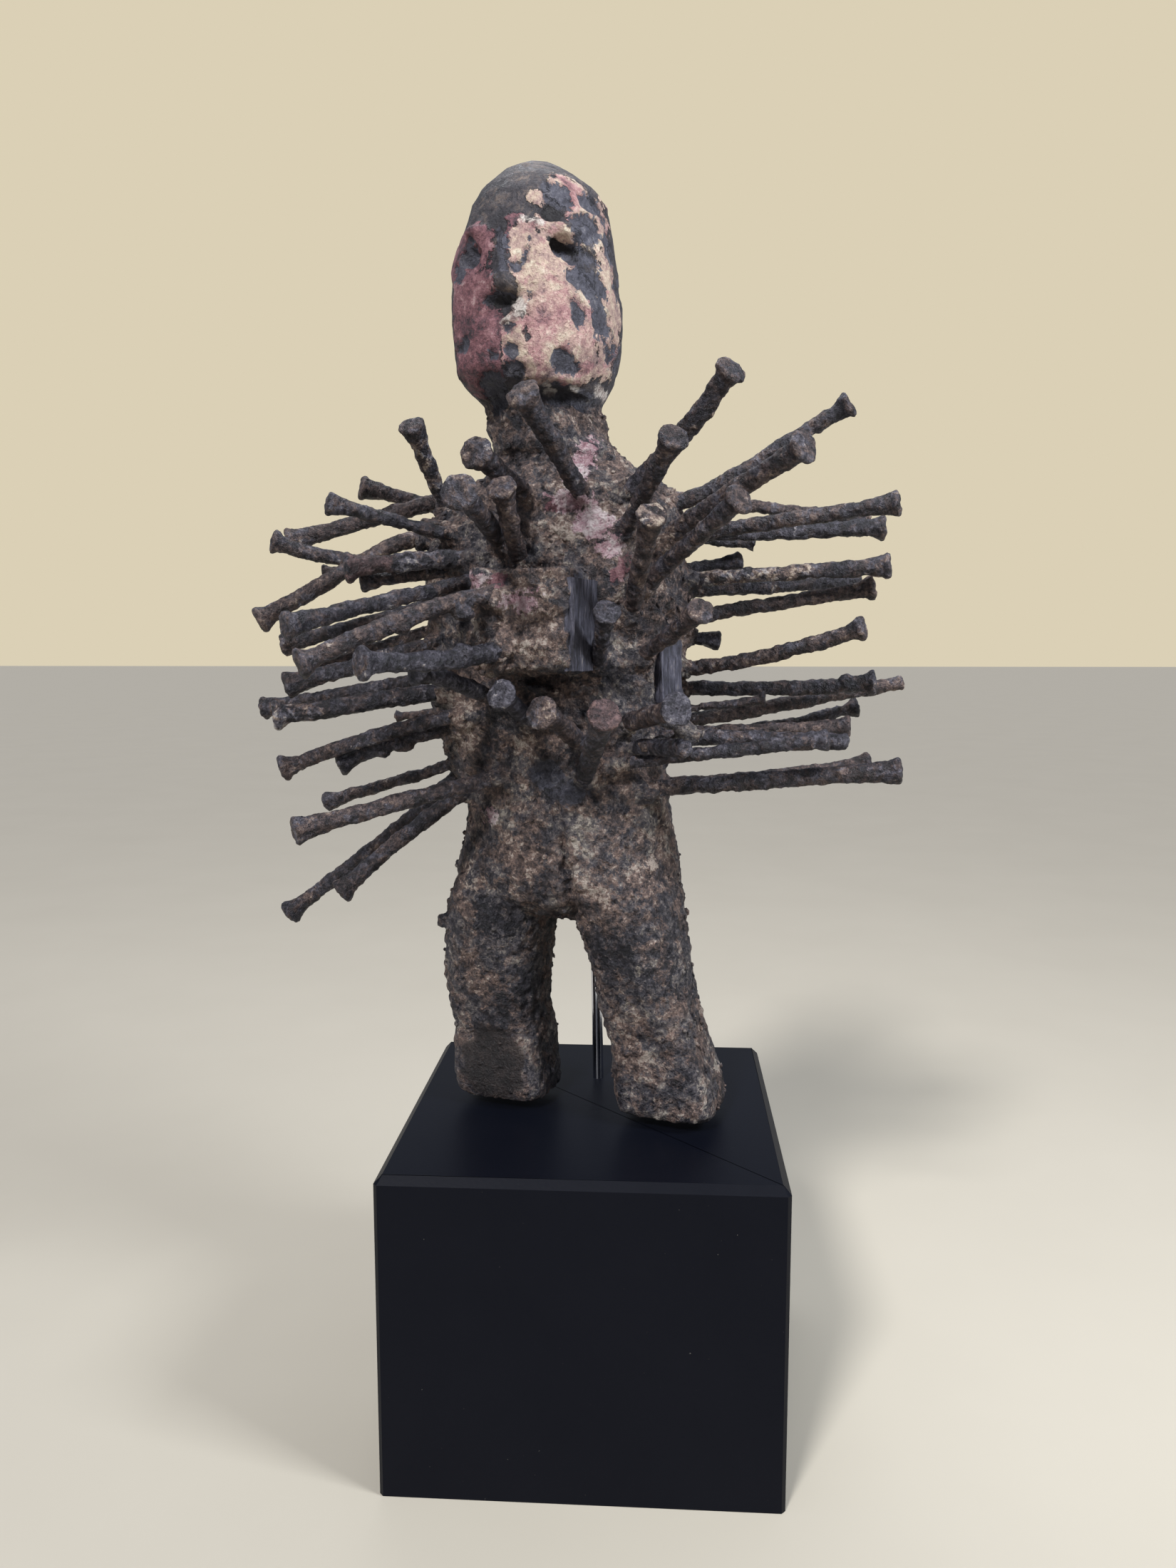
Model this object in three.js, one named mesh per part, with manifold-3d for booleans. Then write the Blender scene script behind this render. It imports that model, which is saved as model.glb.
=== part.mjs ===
// A carved wooden figure bristling with old iron nails, carried by a steel rod on a black block.
// Millimetres, +Z up. The origin is the middle of the block's underside, and -Y is the block's front.

import * as THREE from 'three';
import { mergeVertices } from 'three/addons/utils/BufferGeometryUtils.js';
import Module from 'manifold-3d';

const wasm = await Module();
wasm.setup();

const degrees = Math.PI / 180;

// Driving dimensions

const block = { width: 203, depth: 200, height: 168, topChamfer: 4, sideChamfer: 2, underChamfer: 1 };

// The rod stands behind the feet, leans slightly to the left and carries the hips
const rod = { diameter: 6.35, sides: 12, foot: [1.6, 39.4], lean: -1, inBlock: 25, above: 158 };

// The figure hangs a little above the block and is turned to the block's left
const figure = { lift: 6, turn: -17, sides: 24, legSides: 20 };
const sole = block.height + figure.lift;

// Gap between a piece and the hole that it sits in
const fit = 0.35;

// Sections of the carving, seen from above: height over the sole, centre x and y,
// half width, half depth, and squareness, where 2 is an ellipse and 4 nearly a box

const headSections = [
  [378, -27.5, -2, 30.5, 32, 2.2],
  [384, -28, -6, 35, 42, 2.2],
  [391, -29, -6, 39, 47, 2.3],
  [402, -28, -6, 41.5, 48, 2.3],
  [416, -28, -6, 42.5, 49, 2.3],
  [430, -28, -6, 42.5, 49, 2.3],
  [444, -29, -5, 41.5, 48, 2.2],
  [455, -29, -4, 39.5, 46, 2.1],
  [465, -28, -3, 37, 44, 2.1],
  [476, -28, -2, 35, 41, 2],
  [484, -28, -1, 31, 36, 2],
  [493, -29, 0, 20.5, 26, 2],
  [499, -29, 0, 10.5, 14, 2],
  [501, -27, 0, 5, 6, 2],
];

const torsoSections = [
  [103, -16, 14, 40, 28, 2.4],
  [109, -16, 10, 55, 42, 2.4],
  [118, -14.5, 6, 61.5, 50, 2.4],
  [130, -15, 4, 62, 52, 2.4],
  [144, -14, 3, 58.5, 50, 2.3],
  [168, -14, 1, 55, 47, 2.3],
  [183, -18, 0, 58, 46, 2.3],
  [193, -21, 0, 62, 47, 2.3],
  [218, -21, 0, 67.5, 50, 2.3],
  [245, -21, 0, 70.5, 52.5, 2.3],
  [290, -21, 0, 71.5, 53, 2.3],
  [316, -20, 0, 70.5, 50, 2.2],
  [327, -17, 0, 62, 46, 2.1],
  [337, -15, 0, 50, 40, 2],
  [347, -18, 0, 36.5, 34, 2],
  [357, -22, -1, 31.5, 32, 2],
  [365, -25.5, -1.5, 31, 31.5, 2],
  [382, -27.5, -2, 30.5, 31, 2],
];

const leftLegSections = [
  [0, -47, -6, 24.5, 21, 4],
  [4, -48, -6, 26, 22.5, 6],
  [14, -49.5, -6, 26, 23, 6],
  [34, -50.5, -5, 25.5, 22.5, 6],
  [38, -51, -5, 25.5, 23, 4],
  [52, -53.5, -6, 27, 25, 3],
  [73, -53.5, -8, 28.5, 28, 2.6],
  [95, -51, -9, 29, 32, 2.4],
  [116, -47, -8, 29, 36, 2.3],
  [132, -42, -4, 29, 38, 2.2],
];

const rightLegSections = [
  [0, 48, -2, 25, 22.5, 4],
  [4, 48, -2, 26.5, 24.5, 6],
  [14, 46, -2, 26.5, 24.5, 6],
  [34, 42, -2, 24, 24, 6],
  [38, 40.5, -2, 24.5, 24, 4],
  [52, 36.5, -3, 25.5, 26.5, 3],
  [73, 32.5, -5, 25, 29, 2.6],
  [95, 28, -6, 26.8, 33, 2.4],
  [116, 22, -5, 29.5, 37, 2.3],
  [132, 15, -3, 29, 39, 2.2],
];

// Places on the face, in the figure's own x, y and height
const face = {
  eyes: [
    { at: [-48, -50, 443], radii: [9, 7, 8], tilt: -15 },
    { at: [3, -41, 443], radii: [12, 7.5, 7.5], tilt: 12 },
  ],
  brows: [
    { at: [-42, -45, 455], radii: [9, 5, 3.5], tilt: 6 },
    { at: [-2, -36, 455], radii: [12, 7, 4], tilt: 16 },
  ],
  nose: { x: -26, ridge: 57, tip: 62, top: 466, base: 424, halfWidth: 11 },
  mouth: { at: [-33, -58, 411], radii: [13, 5, 2.5], tilt: 0 },
  ears: [
    { at: [-71, -3, 433], radii: [4.5, 11, 15], tilt: 0 },
    { at: [10, -2, 429], radii: [4.5, 10, 12], tilt: 0 },
  ],
  chin: { at: [-27, -41, 392], radii: [16, 10, 7], tilt: 0 },
};

// Sawn-off branch on the left hip
const stub = { at: [-80, -8, 104], radii: [8, 4, 4], tilt: 20 };

// The raised square pack on the belly
const pack = { left: -35, right: 17, front: -80, back: -30, low: 238, high: 289, edge: 2.5 };

// Every nail is driven in this deep, and its end tapers to a point
const driven = 13;
const taper = 5;
const holeReach = 18;
const nailSides = 6;
const bentSteps = 4;

// A hammered head flares out under its rim
const headFlare = 2.6;
const headRim = 1.9;

// Old hand-made nails in five weights: shaft and head diameter, a stub having lost its head
const weights = {
  thin: { shaft: 5.6, head: 10.5 },
  light: { shaft: 6.6, head: 12.4 },
  plain: { shaft: 7.4, head: 13.2 },
  stout: { shaft: 8.2, head: 15 },
  stub: { shaft: 6.8, head: 7.4 },
};

// Each nail's weight, where it enters the skin and where its head is, in the figure's own x, y
// and height over the sole, and how far a bent one bows upward at a third and at two thirds

const leftNails = [
  ['plain', [-80, -12, 324], [-80, -51, 364]],
  ['stout', [-31, -51, 303], [-10, -137, 316], [1, 2]],
  ['light', [-79, 10, 325], [-126, -25, 338]],
  ['thin', [-61, -43, 308], [-106, -89, 321]],
  ['plain', [-63, 4, 339], [-160, -45, 308]],
  ['light', [-91, -14, 296], [-161, -58, 307], [-3, -4]],
  ['stout', [-48, -50, 294], [-101, -82, 290], [2, 1]],
  ['plain', [-87, -21, 309], [-162, -71, 265], [6, 2]],
  ['thin', [-58, -47, 290], [-99, -71, 284]],
  ['light', [-44, -51, 285], [-96, -142, 260]],
  ['light', [-91, -11, 274], [-170, -38, 252]],
  ['plain', [-18, -80, 274], [-83, -151, 243], [5, 3]],
  ['plain', [-75, -37, 253], [-137, -84, 231]],
  ['thin', [-92, -3, 262], [-168, -21, 237]],
  ['stout', [-17, -80, 251], [-56, -144, 243], [-3, -2]],
  ['plain', [-32, -50, 222], [-53, -99, 239], [1, 2]],
  ['plain', [-16, -49, 214], [-14, -88, 228]],
  ['stout', [10, -44, 201], [8, -91, 220], [1, 2]],
  ['light', [-90, -9, 234], [-188, -35, 216]],
  ['stout', [-67, -40, 226], [-144, -85, 215], [2, 0]],
  ['light', [-56, -44, 214], [-139, -87, 188], [3, 2]],
  ['plain', [-62, -40, 208], [-117, -68, 190], [2, 2]],
  ['thin', [-77, -10, 186], [-158, -18, 161]],
  ['plain', [-34, -45, 184], [-109, -121, 162]],
  ['plain', [-76, -2, 183], [-174, -35, 98], [-2, -2]],
  ['plain', [-58, -32, 174], [-120, -65, 120], [2, 2]],
];

const frontNails = [
  ['stout', [11, -42, 325], [3, -98, 364]],
  ['stout', [-18, -46, 326], [-22, -96, 340]],
  ['plain', [-19, -52, 291], [-10, -94, 324]],
  ['light', [19, -45, 241], [37, -80, 267]],
  ['stout', [11, -42, 183], [42, -98, 220]],
  ['stout', [30, -34, 212], [70, -75, 222]],
];

const rightNails = [
  ['stout', [30, -30, 328], [90, -62, 375], [-2, -3]],
  ['plain', [31, -38, 307], [70, -85, 343]],
  ['plain', [34, -37, 266], [59, -82, 310]],
  ['light', [45, 1, 326], [133, 8, 370], [-4, -2]],
  ['stout', [47, -18, 304], [123, -58, 340], [2, 1]],
  ['plain', [39, -32, 278], [98, -75, 316], [2, 1]],
  ['thin', [34, 20, 332], [135, 72, 320]],
  ['light', [50, 8, 309], [157, 17, 322]],
  ['plain', [47, 18, 313], [146, 52, 314], [-2, -1]],
  ['thin', [41, 29, 292], [71, 41, 297]],
  ['light', [50, 9, 286], [152, 29, 292]],
  ['stub', [43, 27, 281], [132, 67, 287]],
  ['light', [47, 17, 264], [143, 42, 282], [2, 0]],
  ['light', [39, -31, 246], [78, -66, 267]],
  ['thin', [43, 26, 257], [61, 35, 254]],
  ['light', [48, 9, 240], [143, 4, 260], [-3, -3]],
  ['light', [45, 16, 229], [145, 39, 232], [-1, -2]],
  ['stub', [41, 20, 211], [157, 63, 231], [-2, 0]],
  ['thin', [35, 26, 202], [132, 72, 217], [-2, -4]],
  ['thin', [43, 7, 205], [134, 28, 209]],
  ['stub', [41, -14, 204], [138, -12, 204]],
  ['thin', [26, -33, 191], [131, -26, 206]],
  ['plain', [37, -19, 177], [163, 3, 189]],
  ['thin', [33, 26, 175], [139, 76, 186], [-1, -2]],
  ['stub', [33, -29, 200], [71, -65, 203]],
];

// Closed body through rings of points, from the first ring's cap to the last one's
function skin(rings) {
  const corners = rings[0].length;
  const positions = rings.flat().flatMap((point) => [point.x, point.y, point.z]);
  const faces = [];
  for (let i = 1; i < rings.length; i += 1) {
    for (let j = 0; j < corners; j += 1) {
      const next = (j + 1) % corners;
      const low = (i - 1) * corners;
      const high = i * corners;
      faces.push(low + j, low + next, high + next, low + j, high + next, high + j);
    }
  }
  const last = (rings.length - 1) * corners;
  for (let j = 1; j < corners - 1; j += 1) {
    faces.push(0, j + 1, j, last, last + j, last + j + 1);
  }
  const geometry = new THREE.BufferGeometry();
  geometry.setAttribute('position', new THREE.Float32BufferAttribute(positions, 3));
  geometry.setIndex(faces);
  return geometry;
}

// Ring of a carved section: an ellipse that squareness pushes out toward its box
function sectionRing([height, x, y, halfWidth, halfDepth, squareness], sides) {
  return Array.from({ length: sides }, (_, k) => {
    const angle = (2 * Math.PI * (k + 0.5)) / sides;
    const cos = Math.cos(angle);
    const sin = Math.sin(angle);
    const px = Math.sign(cos) * Math.abs(cos) ** (2 / squareness) * halfWidth;
    const py = Math.sign(sin) * Math.abs(sin) ** (2 / squareness) * halfDepth;
    return new THREE.Vector3(x + px, y + py, height);
  });
}

const carve = (sections, sides) => skin(sections.map((section) => sectionRing(section, sides)));

// Solid of a closed geometry, for cutting and joining
function solid(geometry) {
  const bare = new THREE.BufferGeometry();
  bare.setAttribute('position', geometry.getAttribute('position'));
  bare.setIndex(geometry.getIndex());
  const merged = mergeVertices(bare, 1e-4);
  return new wasm.Manifold(new wasm.Mesh({
    numProp: 3,
    vertProperties: new Float32Array(merged.getAttribute('position').array),
    triVerts: new Uint32Array(merged.getIndex().array),
  }));
}

function geometryOf(manifold) {
  const mesh = manifold.getMesh();
  const geometry = new THREE.BufferGeometry();
  geometry.setAttribute('position', new THREE.Float32BufferAttribute(mesh.vertProperties, 3));
  geometry.setIndex(new THREE.Uint32BufferAttribute(mesh.triVerts, 1));
  return geometry;
}

// Egg-shaped cutter or lump
function egg({ at, radii, tilt }) {
  return new THREE.SphereGeometry(1, 8, 5)
    .scale(...radii)
    .rotateY(tilt * degrees)
    .translate(...at);
}

// Nose: a ridge that widens down to its base and juts out at the tip
function noseGeometry() {
  const { x, ridge, tip, top, base, halfWidth } = face.nose;
  const rows = [
    [top, ridge - 12, 3],
    [top - 8, ridge - 6, 4],
    [base + 14, ridge, 7],
    [base + 4, tip - 2, halfWidth],
    [base, tip - 4, halfWidth],
  ];
  const inside = -20;
  return skin(rows.reverse().map(([height, reach, half]) => [
    new THREE.Vector3(x - half, inside, height),
    new THREE.Vector3(x + half, inside, height),
    new THREE.Vector3(x + half, -reach + half * 0.7, height),
    new THREE.Vector3(x + half * 0.3, -reach, height),
    new THREE.Vector3(x - half * 0.3, -reach, height),
    new THREE.Vector3(x - half, -reach + half * 0.7, height),
  ].reverse()));
}

function packGeometry() {
  const { left, right, front, back, low, high, edge } = pack;
  const outline = (inset, height) => [
    new THREE.Vector3(left + inset, front + inset + edge, height),
    new THREE.Vector3(left + inset + edge, front + inset, height),
    new THREE.Vector3(right - inset - edge, front + inset, height),
    new THREE.Vector3(right - inset, front + inset + edge, height),
    new THREE.Vector3(right - inset, back, height),
    new THREE.Vector3(left + inset, back, height),
  ];
  return skin([outline(edge, low), outline(0, low + edge), outline(0, high - edge), outline(edge, high)]);
}

// Path of a nail's shaft: straight, or bowed upward between its entry and its head
function shaftPath(root, head, bow) {
  const chord = head.clone().sub(root).normalize();
  const up = new THREE.Vector3(0, 0, 1).addScaledVector(chord, -chord.z).normalize();
  const knots = bow.map((rise, k) => root.clone().lerp(head, (k + 1) / 3).addScaledVector(up, rise));
  return new THREE.CatmullRomCurve3([root, ...knots, head]);
}

const along = (point, direction, distance) => point.clone().addScaledVector(direction, distance);

// Nail as rings along its path: point, driven end, shaft, flared head
function nailGeometry([weight, from, to, bow]) {
  const { shaft, head } = weights[weight];
  const top = new THREE.Vector3(...to);
  const path = shaftPath(new THREE.Vector3(...from), top, bow ?? [0, 0]);
  const start = path.getTangent(0);
  const end = path.getTangent(1);
  const radius = shaft / 2;
  const rings = [
    [along(path.getPoint(0), start, -driven), start, radius * 0.4],
    [along(path.getPoint(0), start, taper - driven), start, radius],
  ];
  if (bow) {
    for (let k = 0; k < bentSteps; k += 1) {
      rings.push([path.getPoint(k / bentSteps), path.getTangent(k / bentSteps), radius]);
    }
  }
  rings.push(
    [along(top, end, -headRim / 2 - headFlare), end, radius],
    [along(top, end, -headRim / 2), end, head / 2],
    [along(top, end, headRim / 2), end, head / 2 - 0.3],
  );
  return skin(rings.map((ring) => polygonRing(...ring)));
}

// Hole that a nail sits in
function nailHole([weight, from, to, bow]) {
  const root = new THREE.Vector3(...from);
  const start = shaftPath(root, new THREE.Vector3(...to), bow ?? [0, 0]).getTangent(0);
  const radius = weights[weight].shaft / 2 + fit;
  const ends = [-driven - fit, holeReach];
  return skin(ends.map((distance) => polygonRing(along(root, start, distance), start, radius)));
}

// Six-cornered ring around a path, as wide on average as the round one that it stands for
function polygonRing(centre, direction, radius) {
  const side = new THREE.Vector3(0, 0, 1).cross(direction).normalize();
  const up = direction.clone().cross(side);
  const reach = radius * 1.08;
  return Array.from({ length: nailSides }, (_, k) => {
    const angle = (2 * Math.PI * k) / nailSides;
    return centre.clone()
      .addScaledVector(side, Math.cos(angle) * reach)
      .addScaledVector(up, Math.sin(angle) * reach);
  });
}

// Rod through its foot on the block's top. Grown, it cuts the holes that it stands in
function rodGeometry(grow = 0) {
  const length = rod.inBlock + rod.above + 2 * grow;
  const radius = rod.diameter / 2 + grow;
  return new THREE.CylinderGeometry(radius, radius, length, rod.sides)
    .rotateX(90 * degrees)
    .translate(0, 0, length / 2 - rod.inBlock - grow)
    .rotateY(rod.lean * degrees)
    .translate(...rod.foot, block.height);
}

function figureSolid(nails) {
  let body = solid(carve(torsoSections, figure.sides))
    .add(solid(carve(leftLegSections, figure.legSides)))
    .add(solid(carve(rightLegSections, figure.legSides)))
    .add(solid(carve(headSections, figure.sides)));
  const join = (geometry) => { body = body.add(solid(geometry)); };
  const cut = (geometry) => { body = body.subtract(solid(geometry)); };
  [...face.brows, ...face.ears, face.chin, stub].forEach((lump) => join(egg(lump)));
  join(noseGeometry());
  join(packGeometry());
  [...face.eyes, face.mouth].forEach((hollow) => cut(egg(hollow)));
  nails.forEach((spec) => cut(nailHole(spec)));
  cut(rodGeometry(fit).translate(0, 0, -sole).rotateZ(-figure.turn * degrees));
  return body;
}

function blockSolid() {
  const outline = (inset, height) => {
    const x = block.width / 2 - inset;
    const y = block.depth / 2 - inset;
    const c = block.sideChamfer;
    return [[x - c, y], [-x + c, y], [-x, y - c], [-x, -y + c], [-x + c, -y], [x - c, -y], [x, -y + c], [x, y - c]]
      .map(([px, py]) => new THREE.Vector3(px, py, height));
  };
  const { height, topChamfer, underChamfer } = block;
  const body = skin([
    outline(underChamfer, 0),
    outline(0, underChamfer),
    outline(0, height - topChamfer),
    outline(topChamfer, height),
  ]);
  return solid(body).subtract(solid(rodGeometry(fit)));
}

const wood = new THREE.MeshStandardMaterial({ color: 0x6b5a4c, roughness: 0.95 });
const rustyIron = new THREE.MeshStandardMaterial({ color: 0x4a3f3c, roughness: 0.8, metalness: 0.5 });
const polishedSteel = new THREE.MeshStandardMaterial({ color: 0xc9ccd2, roughness: 0.12, metalness: 1 });
const blackLacquer = new THREE.MeshStandardMaterial({ color: 0x0b0d13, roughness: 0.45 });

function piece(name, geometry, material) {
  const mesh = new THREE.Mesh(geometry, material);
  mesh.name = name;
  return mesh;
}

const nailSets = { left: leftNails, front: frontNails, right: rightNails };
const turned = new THREE.Group();
turned.position.z = sole;
turned.rotation.z = figure.turn * degrees;
turned.add(piece('figure', geometryOf(figureSolid(Object.values(nailSets).flat())), wood));
Object.entries(nailSets).forEach(([side, specs]) => {
  specs.forEach((spec, k) => {
    const name = `nail_${side}_${String(k + 1).padStart(2, '0')}`;
    turned.add(piece(name, geometryOf(solid(nailGeometry(spec))), rustyIron.clone()));
  });
});

const object = new THREE.Group();
object.add(turned);
object.add(piece('mount_rod', geometryOf(solid(rodGeometry())), polishedSteel));
object.add(piece('mount_block', geometryOf(blockSolid()), blackLacquer));

export default object;
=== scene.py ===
import bpy
import math
import random
import numpy as np
from mathutils import Matrix, Vector, noise


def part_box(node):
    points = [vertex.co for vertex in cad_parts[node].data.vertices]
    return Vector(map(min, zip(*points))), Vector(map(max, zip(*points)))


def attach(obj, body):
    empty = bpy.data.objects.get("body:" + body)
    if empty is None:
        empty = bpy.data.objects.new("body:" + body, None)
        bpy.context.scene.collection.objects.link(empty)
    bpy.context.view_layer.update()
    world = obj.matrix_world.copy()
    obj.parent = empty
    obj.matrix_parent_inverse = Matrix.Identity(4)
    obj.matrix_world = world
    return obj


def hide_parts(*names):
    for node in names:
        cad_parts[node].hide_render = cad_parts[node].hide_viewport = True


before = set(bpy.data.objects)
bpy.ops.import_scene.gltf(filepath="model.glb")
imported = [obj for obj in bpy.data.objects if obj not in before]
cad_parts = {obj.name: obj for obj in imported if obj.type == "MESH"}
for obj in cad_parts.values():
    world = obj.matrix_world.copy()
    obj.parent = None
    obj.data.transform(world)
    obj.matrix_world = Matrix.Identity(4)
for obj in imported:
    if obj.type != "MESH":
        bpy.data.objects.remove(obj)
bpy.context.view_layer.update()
scene = bpy.context.scene
mm = 0.001


def pick(piece, mode="OBJECT"):
    # one piece selected and active, nothing else
    if bpy.context.object and bpy.context.object.mode != "OBJECT":
        bpy.ops.object.mode_set(mode="OBJECT")
    bpy.ops.object.select_all(action="DESELECT")
    piece.select_set(True)
    bpy.context.view_layer.objects.active = piece
    if mode != "OBJECT":
        bpy.ops.object.mode_set(mode=mode)


def applied(piece, kind, **settings):
    # adds a modifier and applies it at once
    pick(piece)
    bpy.ops.object.modifier_add(type=kind)
    modifier = piece.modifiers[-1]
    for key, value in settings.items():
        setattr(modifier, key, value)
    bpy.ops.object.modifier_apply(modifier=modifier.name)


def copyOf(node, name):
    # the solid of a node as a new piece, its loose triangles joined up
    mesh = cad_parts[node].data.copy()
    mesh.materials.clear()
    mesh.name = name
    piece = bpy.data.objects.new(name, mesh)
    scene.collection.objects.link(piece)
    pick(piece, "EDIT")
    bpy.ops.mesh.select_all(action="SELECT")
    bpy.ops.mesh.remove_doubles(threshold=0.00001)
    bpy.ops.object.mode_set(mode="OBJECT")
    return piece


def pointsOf(piece):
    points = np.empty(len(piece.data.vertices) * 3)
    piece.data.vertices.foreach_get("co", points)
    return points.reshape(-1, 3)


def normalsOf(piece):
    normals = np.empty(len(piece.data.vertices) * 3)
    piece.data.vertices.foreach_get("normal", normals)
    return normals.reshape(-1, 3)


def setPoints(piece, points):
    piece.data.vertices.foreach_set("co", points.ravel())
    piece.data.update()


def lumpTexture(name, kind, size, **settings):
    texture = bpy.data.textures.new(name, kind)
    texture.noise_scale = size
    for key, value in settings.items():
        setattr(texture, key, value)
    return texture


def smoothSides(piece, angle=180):
    pick(piece)
    bpy.ops.object.shade_smooth_by_angle(angle=math.radians(angle))


def finished(piece, material, slot, *nodes):
    piece.data.materials.clear()
    piece.data.materials.append(material)
    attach(piece, "root")
    if nodes:
        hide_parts(*nodes)


def tone(red, green, blue):
    # a colour as seen on screen, 0 to 255
    def linear(c):
        c /= 255
        return c / 12.92 if c <= 0.04045 else ((c + 0.055) / 1.055) ** 2.4

    return (linear(red), linear(green), linear(blue), 1)


def newMaterial(name):
    material = bpy.data.materials.new(name)
    material.use_nodes = True
    return material, material.node_tree, material.node_tree.nodes["Principled BSDF"]


def add(tree, kind, inputs=None, **settings):
    made = tree.nodes.new("ShaderNode" + kind)
    for key, value in settings.items():
        setattr(made, key, value)
    for key, value in (inputs or {}).items():
        if isinstance(value, bpy.types.NodeSocket):
            tree.links.new(value, made.inputs[key])
        else:
            made.inputs[key].default_value = value
    return made


def place(tree, stretch=None):
    # object coordinates in metres, stretched for a grain
    coords = add(tree, "TexCoord").outputs["Object"]
    if stretch:
        coords = add(tree, "Mapping", {"Vector": coords, "Scale": stretch}).outputs["Vector"]
    return coords


def cloud(tree, coords, size, detail=4, roughness=0.6, warp=0.0, seed=0.0):
    # noise whose blobs are about size millimetres across
    inputs = {
        "Vector": coords,
        "W": seed,
        "Scale": 1000 / size,
        "Detail": detail,
        "Roughness": roughness,
        "Distortion": warp,
    }
    return add(tree, "TexNoise", inputs, noise_dimensions="4D").outputs["Fac"]


def between(tree, value, low, high):
    # 0 below low, 1 above high
    inputs = {"Value": value, "From Min": low, "From Max": high}
    return add(tree, "MapRange", inputs, interpolation_type="SMOOTHSTEP").outputs["Result"]


def maths(tree, operation, a, b):
    return add(tree, "Math", {0: a, 1: b}, operation=operation).outputs[0]


def over(tree, mask, below, above):
    # lays one colour over another
    return add(tree, "Mix", {0: mask, 6: below, 7: above}, data_type="RGBA").outputs[2]


def ranged(tree, value, low, high, lowest, highest):
    # carries low..high to lowest..highest
    inputs = {"Value": value, "From Min": low, "From Max": high, "To Min": lowest, "To Max": highest}
    return add(tree, "MapRange", inputs).outputs["Result"]


def total(tree, *values):
    result = values[0]
    for value in values[1:]:
        result = maths(tree, "ADD", result, value)
    return result


def centred(tree, value, factor):
    # noise swinging about zero
    return maths(tree, "MULTIPLY", maths(tree, "SUBTRACT", value, 0.5), factor)


def torn(tree, coords, size, reach):
    # the same place, shifted to and fro by reach millimetres
    swirl = add(tree, "TexNoise", {"Vector": coords, "Scale": 1000 / size, "Detail": 4})
    around = add(tree, "VectorMath", {0: swirl.outputs["Color"], 1: (0.5, 0.5, 0.5)}, operation="SUBTRACT")
    shift = add(tree, "VectorMath", {0: around.outputs["Vector"], "Scale": reach * mm}, operation="SCALE")
    moved = add(tree, "VectorMath", {0: coords, 1: shift.outputs["Vector"]}, operation="ADD")
    return moved.outputs["Vector"]


def flakes(tree, coords, size):
    # cells about size millimetres across, each with its own value from 0 to 1
    ragged = torn(tree, coords, size * 0.8, size * 1.6)
    cells = add(tree, "TexVoronoi", {"Vector": ragged, "Scale": 1000 / size})
    return add(tree, "SeparateColor", {"Color": cells.outputs["Color"]}).outputs["Red"]


def shades(tree, value, *stops):
    # a run of colours along a value: place and colour of each
    node = add(tree, "ValToRGB", {"Fac": value})
    first, last = node.color_ramp.elements[0], node.color_ramp.elements[1]
    first.position, first.color = stops[0][0], tone(*stops[0][1])
    last.position, last.color = stops[-1][0], tone(*stops[-1][1])
    for position, colour in stops[1:-1]:
        node.color_ramp.elements.new(position).color = tone(*colour)
    return node.outputs["Color"]


def field(tree, name):
    # a value that the mesh carries at its points
    return add(tree, "Attribute", attribute_name=name).outputs["Fac"]


def bumped(tree, shader, heights):
    # stacks bumps, each with its height in millimetres and its source
    normal = None
    for distance, height in heights:
        inputs = {"Height": height, "Distance": distance * mm, "Strength": 1.0}
        if normal:
            inputs["Normal"] = normal
        normal = add(tree, "Bump", inputs).outputs["Normal"]
    tree.links.new(normal, shader.inputs["Normal"])


view = {
    "place": (0.0357, -0.6252, 0.4229),
    "turn": 3.47,
    "down": 6.64,
    "lens": 35.13,
    "sensor": 36,
}


def makeCamera():
    bpy.ops.object.camera_add(
        location=view["place"],
        rotation=(math.radians(90 - view["down"]), 0, math.radians(view["turn"])),
    )
    camera = bpy.context.object
    camera.name = "photoCamera"
    camera.data.sensor_fit = "HORIZONTAL"
    camera.data.sensor_width = view["sensor"]
    camera.data.lens = view["lens"]
    camera.data.clip_start = 0.01
    scene.camera = camera


studio = {
    "floorSize": 60,
    "floorHeight": -0.0002,
    "floor": (188, 182, 169),
    "floorShade": (181, 175, 162),
    "wall": (219, 208, 182),
    "glow": (214, 220, 232),
    "glowStrength": 0.44,
    # a broad sun from the upper left of the camera: direction, spread in degrees, power and colour
    "sun": ((-0.36, -0.85, 0.82), 10, 3.0, (1.0, 0.985, 0.975)),
    # two soft lamps: place, size, power and colour
    "lamps": [
        ((0.75, -0.45, 1.0), 0.3, 12.0, (0.94, 0.97, 1.0)),
        ((-0.15, 0.45, 1.5), 0.5, 5.0, (0.97, 0.98, 1.0)),
    ],
    "aimHeight": 0.42,
}


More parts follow.
